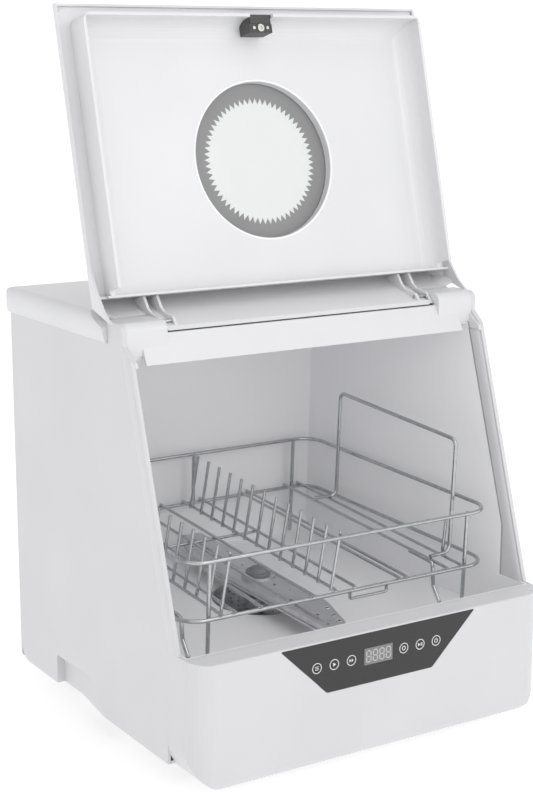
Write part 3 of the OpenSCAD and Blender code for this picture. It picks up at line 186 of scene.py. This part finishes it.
def plates(shape, outline, front, back, to_world):
    """Adds the same flat plate on the left and right to the bmesh: an outline between two depths."""
    for side in (-1, 1):
        top = [shape.verts.new(to_world(side * a, b, front)) for a, b in outline]
        under = [shape.verts.new(to_world(side * a, b, back)) for a, b in outline]
        shape.faces.new(top)
        shape.faces.new(under[::-1])
        for k in range(len(outline)):
            n = (k + 1) % len(outline)
            shape.faces.new((top[k], under[k], under[n], top[n]))
    bmesh.ops.recalc_face_normals(shape, faces=shape.faces)


def ring(shape, around, across, point):
    """Adds a closed tube to the bmesh, from a function of the angles round the ring and round the tube."""
    loops = [[shape.verts.new(point(math.tau * i / around, math.tau * j / across)) for j in range(across)]
             for i in range(around)]
    for i in range(around):
        for j in range(across):
            a, b, n = loops[i], loops[(i + 1) % around], (j + 1) % across
            shape.faces.new((a[j], b[j], b[n], a[n]))


def mesh_piece(name, shape, mat, body, smooth=True):
    """Turns a bmesh into a piece that rides on a body and takes a material slot."""
    mesh = bpy.data.meshes.new(name)
    shape.to_mesh(mesh)
    shape.free()
    for face in mesh.polygons:
        face.use_smooth = smooth
    mesh.materials.append(mat)
    obj = bpy.data.objects.new(name, mesh)
    bpy.context.scene.collection.objects.link(obj)
    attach(obj, body)
    return obj


class CabinetSettings(bpy.types.PropertyGroup):
    """Colours of the moulded body."""
    shell: bpy.props.StringProperty(
        name="Shell", description="Colour of the cabinet's ABS", default="#D6D6D8")
    lid: bpy.props.StringProperty(name="Lid", description="Colour of the lid's ABS", default="#E2E2E4")
    tub: bpy.props.StringProperty(
        name="Tub", description="Colour of the tub's polypropylene", default="#FAFAFC")
    panel: bpy.props.StringProperty(
        name="Panel", description="Colour of the control panel", default="#2C2C2D")


class BasketSettings(bpy.types.PropertyGroup):
    """Sizes of the basket's small detail."""
    weld: bpy.props.FloatProperty(
        name="Weld bead", description="Radius of the weld beads", default=2.6 * MM, unit="LENGTH")


class StudioSettings(bpy.types.PropertyGroup):
    """Light and floor."""
    floor: bpy.props.StringProperty(
        name="Floor", description="Colour of the studio floor", default="#D6D6D6")
    ambient: bpy.props.FloatProperty(
        name="Ambient", description="Strength of the even light all round", default=0.63)
    key: bpy.props.FloatProperty(
        name="Key", description="Power of the large top light", default=7.4, unit="POWER")
    glow: bpy.props.FloatProperty(
        name="Glow", description="How much light the floor gives off by itself", default=0.53)


class DISHWASHER_OT_cabinet(bpy.types.Operator):
    """Finish the cabinet's moulded shell and its metal and rubber fittings"""
    bl_idname = "dishwasher.cabinet"
    bl_label = "Cabinet"

    def execute(self, context):
        colours = context.scene.dishwasher_cabinet
        # ABS, injection-moulded and lightly polished: an even white with a soft, broad sheen.
        shell = moulded("abs_injection_moulded_satin", colours.shell, "#D3D3D5", 0.36, 1.2, 0.05)
        paint(shell, "front_fascia", "side_panel_left", "side_panel_right", "back_panel", "base_tray")
        # The same ABS, painted a shade whiter than the shell as painted light: these two mouldings come out
        # too grey in the shell's colour.
        paint(moulded("abs_injection_moulded_satin_painted_lighter", "#DFDFE1", "#DCDCDE", 0.36, 1.2, 0.05),
              "top_cover", "opening_header")
        # Polypropylene, injection-moulded with a matte skin: a soft white that spreads what light gets in.
        paint(moulded("polypropylene_moulded_matte", colours.tub, "#F7F7F9", 0.45, 1.2, 0.04), "tub")
        # Silicone, extruded: a dull grey line in the channels.
        paint(moulded("silicone_extruded_grey", "#A8A8AA", "#9C9C9E", 0.6, 0.8, 0.1), "tub_gasket")
        # EPDM rubber, moulded: nearly black and dull.
        paint(moulded("epdm_rubber_moulded", "#242425", "#1B1B1C", 0.7, 0.9, 0.2, 0.3),
              "feet", "cord_gland", "drain_hose", "inlet_hose")
        # Mild steel, zinc-plated: pale, a little cloudy.
        paint(steel("steel_zinc_plated", "#C9CACC", "#A6A8AB", 0.32, (2, 2, 2), 0.1),
              "hinge_pins", "panel_screws", "catch_magnet", "spray_pump_motor")
        return {"FINISHED"}


class DISHWASHER_OT_water_works(bpy.types.Operator):
    """Finish the sump, pumps, valve and boards under the tub"""
    bl_idname = "dishwasher.water_works"
    bl_label = "Water works"

    def execute(self, context):
        # Polypropylene, moulded in grey: plain and dull.
        paint(moulded("polypropylene_moulded_grey", "#8E8E91", "#828285", 0.5, 1.5, 0.1),
              "sump", "spray_feed_pipe", "spray_pump_volute", "drain_spigot", "spray_arm_cap")
        # Nylon, moulded in blue-grey: slightly glossy.
        paint(moulded("nylon_moulded_blue_grey", "#5E7690", "#546A82", 0.4, 1.5, 0.1),
              "drain_pump", "reed_switch")
        # Acetal, moulded: a milky white.
        paint(moulded("acetal_moulded_white", "#E6E6E4", "#DCDCDA", 0.4, 1.5, 0.08),
              "inlet_valve", "float_switch")
        # Glass-fibre laminate with solder mask: green with a fine weave.
        paint(moulded("glass_fibre_laminate_green", "#2F6B45", "#255A39", 0.35, 0.6, 0.1),
              "control_board", "power_board")
        # Nickel alloy tube, drawn and oxidised: dark and satin.
        paint(steel("alloy_tube_oxidised", "#6F6A66", "#55514E", 0.4, (1, 1, 1), 0.1), "heater")
        # Stainless sheet, perforated: fine rolling lines.
        paint(steel("stainless_rolled_sheet", "#C6C7C9", "#A9AAAD", 0.3, (30, 0.6, 30), 0.08), "filter")
        return {"FINISHED"}


class DISHWASHER_OT_lid(bpy.types.Operator):
    """Finish the lid's shell, liner, window and latch"""
    bl_idname = "dishwasher.lid"
    bl_label = "Lid"

    def execute(self, context):
        colours = context.scene.dishwasher_cabinet
        # ABS, injection-moulded and polished: smoother than the cabinet's, with a clearer sheen.
        paint(moulded("abs_injection_moulded_polished", colours.lid, "#DFDFE1", 0.3, 1.2, 0.04),
              "lid_shell", "lid_liner", "window_frame")
        # Polycarbonate, extruded sheet: clear, with a faint reflection.
        mat, tree = new_material("polycarbonate_sheet_clear")
        where = add(tree, "ShaderNodeTexCoord")
        haze = add(tree, "ShaderNodeTexNoise", {"Scale": 1 / (30 * MM), "Detail": 2.0},
                   {"Vector": where.outputs["Object"]})
        share = add(tree, "ShaderNodeMapRange", {"To Min": 0.07, "To Max": 0.1},
                    {"Value": haze.outputs["Fac"]})
        clear = add(tree, "ShaderNodeBsdfTransparent", {"Color": hex_linear("#F0F1F1")})
        gloss = add(tree, "ShaderNodeBsdfPrincipled",
                    {"Base Color": hex_linear("#F7F9FA"), "Roughness": 0.08, "IOR": 1.58})
        mix = add(tree, "ShaderNodeMixShader",
                  links={0: share.outputs["Result"], 1: clear.outputs[0], 2: gloss.outputs[0]})
        close(tree, mix)
        paint(mat, "window_pane")
        # Ink, screen-printed on the pane: flat mid grey with a slight mottle.
        paint(moulded("screen_printed_ink_grey", "#8F8F90", "#89898A", 0.5, 0.7, 0.05), "window_print")
        # ABS, spark-eroded dark grey: matte with a fine grain.
        paint(moulded("abs_spark_eroded_dark_grey", "#4C4C4D", "#434344", 0.5, 0.6, 0.15),
              "latch_housing")
        # Steel, nickel-plated: small bright points.
        paint(steel("steel_nickel_plated", "#D5D4D0", "#B9B8B4", 0.25, (1, 1, 1), 0.05), "latch_screw")
        # ABS, moulded and polished: a thin round bead at the window's edge; its near-white paint, whiter than
        # the lid's ABS, is a painted highlight for the white line of light it catches.
        rim = moulded("abs_moulded_bead_painted_highlight", "#FCFCFD", "#F8F8F9", 0.2, 1.2, 0.01, edge=0.2)
        shape = bmesh.new()

        def bead(a, b):
            out = WINDOW_R + 1.3 + 1.1 * math.cos(b)
            depth = LINER_N - 0.1 + 0.8 * math.sin(b)
            return in_lid(out * math.cos(a), WINDOW_S + out * math.sin(a), depth)

        ring(shape, 144, 10, bead)
        mesh_piece("window_bead", shape, rim, "lid")
        # Gussets of the same moulding close the corners between the liner's flange and the shell's rim.
        shape = bmesh.new()
        corner = [(200, 324.4), (219.4, 324.4), (219.4, 304), (212, 308), (204, 316)]
        plates(shape, corner, -3.0, -4.2, in_lid)
        mesh_piece("lid_corner_gussets", shape, NODES["lid_liner"].data.materials[0], "lid",
                   smooth=False)
        return {"FINISHED"}


class DISHWASHER_OT_controls(bpy.types.Operator):
    """Finish the control panel, keys and display"""
    bl_idname = "dishwasher.controls"
    bl_label = "Controls"

    def execute(self, context):
        colours = context.scene.dishwasher_cabinet
        # Acrylic, back-printed in charcoal: even and dark under a glossy face.
        paint(moulded("acrylic_back_printed_charcoal", colours.panel, "#2A2A2B", 0.16, 2.5, 0.02),
              "control_panel")
        # Ink, screen-printed white: flat and opaque.
        paint(moulded("screen_printed_ink_white", "#EDEDED", "#E4E4E4", 0.5, 0.5, 0.03), "key_rings")
        # Polycarbonate film, tinted: a grey window over the digits.
        paint(moulded("polycarbonate_film_tinted", "#848485", "#7E7E7F", 0.25, 1.0, 0.02),
              "display_window")
        # Light-emitting segments, moulded in milky epoxy: pale grey and only just lit.
        mat, tree = new_material("epoxy_segments_lit")
        where = add(tree, "ShaderNodeTexCoord")
        spread = add(tree, "ShaderNodeTexNoise", {"Scale": 1 / (3 * MM)}, {"Vector": where.outputs["Object"]})
        glow = add(tree, "ShaderNodeMapRange", {"To Min": 0.02, "To Max": 0.06},
                   {"Value": spread.outputs["Fac"]})
        shader = add(tree, "ShaderNodeBsdfPrincipled",
                     {"Base Color": hex_linear("#B4B4B5"), "Roughness": 0.4,
                      "Emission Color": hex_linear("#FFFFFF")},
                     {"Emission Strength": glow.outputs["Result"]})
        close(tree, shader)
        paint(mat, "display_digits")
        # Blanks of the fascia's moulding close the board's opening beside the panel's slanting ends.
        shape = bmesh.new()
        blank = [(76, 90), (90.5, 90), (92, 91.5), (92, 112), (80, 112)]
        plates(shape, blank, -201.75, -200.9, lambda x, z, y: (x * MM, y * MM, z * MM))
        mesh_piece("panel_end_blanks", shape, NODES["front_fascia"].data.materials[0], "cabinet",
                   smooth=False)
        return {"FINISHED"}


class DISHWASHER_OT_basket(bpy.types.Operator):
    """Finish the basket's wires"""
    bl_idname = "dishwasher.basket"
    bl_label = "Basket"

    def execute(self, context):
        # Stainless wire, drawn and electropolished: bright, with soft grey reflections.
        wire = steel("stainless_wire_electropolished", "#C2C3C5", "#B4B5B7", 0.18, (6, 6, 6), 0.02)
        paint(wire, *[n for n in NODES if n.startswith("basket")])
        # Resistance welds, electropolished: small flattened lumps, a little rougher than the wire.
        bead = steel("resistance_weld_electropolished", "#B9BABC", "#A8A9AB", 0.3, (2, 2, 2), 0.2)
        shape = bmesh.new()
        radius = context.scene.dishwasher_basket.weld
        small = radius * 0.8
        base = FLOOR_Z + (BASKET_FRONT - FLOOR_Y) * math.tan(FLOOR_RISE)
        over = RING_LOW + WIRE_R + TINE_R - 0.1

        def place(x, y, z):
            back = BASKET_FRONT + y * math.cos(FLOOR_RISE) - z * math.sin(FLOOR_RISE)
            up = base + y * math.sin(FLOOR_RISE) + z * math.cos(FLOOR_RISE)
            return (x * MM, back * MM, up * MM)

        # Floor wires on the bottom ring, at the front and the back.
        wires = [share * BASKET_HALF for share in FLOOR_WIRES]
        for x in wires:
            for y in (0.0, BASKET_LENGTH):
                blob(shape, place(x, y, RING_LOW + WIRE_R + 0.1), radius, (1, 0, 0), 0.62, 0.06)
        # Tines, each beside its floor wire.
        for foot in (wires[0] + 3.3 - TINE_FOOT, wires[5] - 3.3 + TINE_FOOT):
            for i in range(TINES):
                y = TINE_FIRST + i * TINE_SPAN / (TINES - 1)
                blob(shape, place(foot, y, over), small, (0, 1, 0), 0.6, 0.08)
        # Posts, on both rings and on the inside of each.
        post, inset = BASKET_HALF - 31.5, 4.3
        back_y = BASKET_LENGTH - inset
        posts = ((-post, inset), (post, inset), (-post + 21, back_y), (0, back_y), (post - 21, back_y))
        for x, y in posts:
            inner = -2.15 if y < 100 else 2.15
            for z in (RING_LOW, RING_HIGH):
                blob(shape, place(x, y + inner, z), radius, (1, 0, 0), 0.66, 0.06)
        # Feet of the bowl loop, on the two wires at the right.
        for x in wires[9:]:
            for y in (28.0, 252.0):
                blob(shape, place(x, y, over + 1.9), small, (1, 0, 0), 0.6, 0.07)
        mesh_piece("basket_weld_beads", shape, bead, "basket")
        return {"FINISHED"}


class DISHWASHER_OT_spray_arm(bpy.types.Operator):
    """Finish the pressed spray arm"""
    bl_idname = "dishwasher.spray_arm"
    bl_label = "Spray arm"

    def execute(self, context):
        # Stainless sheet, pressed and brushed along its length: satin with fine lines.
        paint(steel("stainless_sheet_pressed_brushed", "#DCDCDE", "#CBCBCD", 0.38, (0.8, 40, 40), 0.12),
              "spray_arm")
        # Nozzles, punched and rolled: a bright rim round a flat dark disc of painted shade that stands for
        # the bore.
        rim = steel("stainless_rolled_nozzle_rim", "#E9E9EA", "#D2D3D4", 0.2, (1, 1, 1), 0.03)
        hole_shade = moulded("painted_shade_nozzle_hole", "#2A2A2B", "#222223", 0.6, 0.5, 0.02)
        rims, hole_shades = bmesh.new(), bmesh.new()

        def on_arm(x, y, up):
            z = ARM_TOP + (y - ARM_TOP_Y) * math.tan(FLOOR_RISE) + up
            return (x * MM, y * MM, z * MM)

        for x, y in NOZZLES:
            def lip(a, b, x=x, y=y):
                out = NOZZLE_R + RIM_R * math.cos(b)
                return on_arm(x + out * math.cos(a), y + out * math.sin(a), 0.1 + 0.5 * math.sin(b))

            ring(rims, NOZZLE_SIDES, 8, lip)
            turns = [math.tau * k / NOZZLE_SIDES for k in range(NOZZLE_SIDES)]
            # A flat dark disc of painted shade over each bore, just above the arm.
            hole_shades.faces.new([hole_shades.verts.new(on_arm(x + BORE_R * math.cos(a), y + BORE_R * math.sin(a), 0.12))
                             for a in turns])
        mesh_piece("spray_arm_nozzle_rims", rims, rim, "spray_arm")
        mesh_piece("spray_arm_nozzle_hole_shades", hole_shades, hole_shade, "spray_arm", smooth=False)
        return {"FINISHED"}


class DISHWASHER_OT_studio(bpy.types.Operator):
    """Build the floor, the lights and the camera"""
    bl_idname = "dishwasher.studio"
    bl_label = "Studio"

    def execute(self, context):
        scene = context.scene
        studio = scene.dishwasher_studio
        # Paper, matte and light grey: a seamless sweep that gives off a little light, so no horizon shows.
        mat, tree = new_material("paper_backdrop_matte")
        where = add(tree, "ShaderNodeTexCoord")
        pulp = add(tree, "ShaderNodeTexNoise", {"Scale": 40.0, "Detail": 3.0},
                   {"Vector": where.outputs["Object"]})
        gloss = add(tree, "ShaderNodeMapRange", {"To Min": 0.75, "To Max": 0.85},
                    {"Value": pulp.outputs["Fac"]})
        shader = add(tree, "ShaderNodeBsdfPrincipled", {
            "Base Color": hex_linear(studio.floor), "Specular IOR Level": 0.1,
            "Emission Color": (1, 1, 1, 1), "Emission Strength": studio.glow},
            {"Roughness": gloss.outputs["Result"]})
        close(tree, shader)
        mesh = bpy.data.meshes.new("studio_floor")
        shape = bmesh.new()
        # A level round floor that curves up into a low wall all round, so it has no edge from any side.
        profile = [(0.5, 0.0), (1.5, 0.0), (3.0, 0.0), (FLOOR_R, 0.0)]
        for step in range(1, CURVE_STEPS + 1):
            angle = step * math.pi / (2 * CURVE_STEPS)
            profile.append((FLOOR_R + CURVE_R * math.sin(angle), CURVE_R * (1 - math.cos(angle))))
        profile.append((FLOOR_R + CURVE_R, WALL_TOP))
        turns = [math.tau * k / FLOOR_STEPS for k in range(FLOOR_STEPS)]
        # It lies 0.2 mm under the feet.
        rows = [[shape.verts.new((r * math.cos(a), r * math.sin(a), z - 0.2 * MM)) for a in turns]
                for r, z in profile]
        shape.faces.new(rows[0])
        for lower, upper in zip(rows, rows[1:]):
            for k in range(FLOOR_STEPS):
                n = (k + 1) % FLOOR_STEPS
                shape.faces.new((lower[k], upper[k], upper[n], lower[n]))
        shape.to_mesh(mesh)
        shape.free()
        for face in mesh.polygons:
            face.use_smooth = True
        floor = bpy.data.objects.new("studio_floor", mesh)
        scene.collection.objects.link(floor)
        mesh.materials.append(mat)

        scene.view_settings.view_transform = "Standard"
        world = bpy.data.worlds.new("studio_world")
        scene.world = world
        world.use_nodes = True
        sky = world.node_tree.nodes["Background"]
        sky.inputs["Color"].default_value = (1, 1, 1, 1)
        sky.inputs["Strength"].default_value = studio.ambient

        def soft_light(name, size, power, place, aim):
            data = bpy.data.lights.new(name, "AREA")
            data.shape = "RECTANGLE"
            data.size, data.size_y = size
            data.energy = power
            lamp = bpy.data.objects.new(name, data)
            lamp.location = place
            lamp.rotation_euler = (Vector(aim) - Vector(place)).to_track_quat("-Z", "Y").to_euler()
            scene.collection.objects.link(lamp)

        soft_light("top_softbox", (2.2, 2.2), studio.key, (0.2, -0.5, 2.6), (0, 0, 0.3))
        soft_light("front_softbox", (1.8, 1.4), studio.key * 0.2, (-0.4, -2.8, 1.2), (0, 0, 0.3))
        soft_light("opening_softbox", (0.7, 0.5), studio.key * 0.28, (0.25, -1.0, 1.1), (0, 0.08, 0.22))

        data = bpy.data.cameras.new("view_camera")
        data.sensor_width = 36.0
        data.lens = 74.30
        data.clip_start = 0.05
        camera = bpy.data.objects.new("view_camera", data)
        camera.location = (-0.9383, -1.4730, 0.7073)
        camera.rotation_euler = (math.radians(78.04), 0.0, math.radians(-32.23))
        scene.collection.objects.link(camera)
        scene.camera = camera
        return {"FINISHED"}


class DISHWASHER_PT_panel(bpy.types.Panel):
    """Lists the dishwasher's finishing steps"""
    bl_idname = "DISHWASHER_PT_panel"
    bl_label = "Dishwasher"
    bl_space_type = "VIEW_3D"
    bl_region_type = "UI"
    bl_category = "Dishwasher"

    def draw(self, context):
        layout = self.layout
        scene = context.scene
        for settings in (scene.dishwasher_cabinet, scene.dishwasher_basket, scene.dishwasher_studio):
            for name in settings.__annotations__:
                layout.prop(settings, name)
        for operator in OPERATORS:
            layout.operator(operator.bl_idname)


OPERATORS = (
    DISHWASHER_OT_cabinet, DISHWASHER_OT_water_works, DISHWASHER_OT_lid, DISHWASHER_OT_controls,
    DISHWASHER_OT_basket, DISHWASHER_OT_spray_arm, DISHWASHER_OT_studio,
)
CLASSES = (CabinetSettings, BasketSettings, StudioSettings) + OPERATORS + (DISHWASHER_PT_panel,)


def register():
    for cls in CLASSES:
        bpy.utils.register_class(cls)
    bpy.types.Scene.dishwasher_cabinet = bpy.props.PointerProperty(type=CabinetSettings)
    bpy.types.Scene.dishwasher_basket = bpy.props.PointerProperty(type=BasketSettings)
    bpy.types.Scene.dishwasher_studio = bpy.props.PointerProperty(type=StudioSettings)


def unregister():
    del bpy.types.Scene.dishwasher_studio
    del bpy.types.Scene.dishwasher_basket
    del bpy.types.Scene.dishwasher_cabinet
    for cls in reversed(CLASSES):
        bpy.utils.unregister_class(cls)


def main():
    register()
    bpy.ops.dishwasher.cabinet()
    bpy.ops.dishwasher.water_works()
    bpy.ops.dishwasher.lid()
    bpy.ops.dishwasher.controls()
    bpy.ops.dishwasher.basket()
    bpy.ops.dishwasher.spray_arm()
    bpy.ops.dishwasher.studio()


if __name__ == "__main__":
    main()
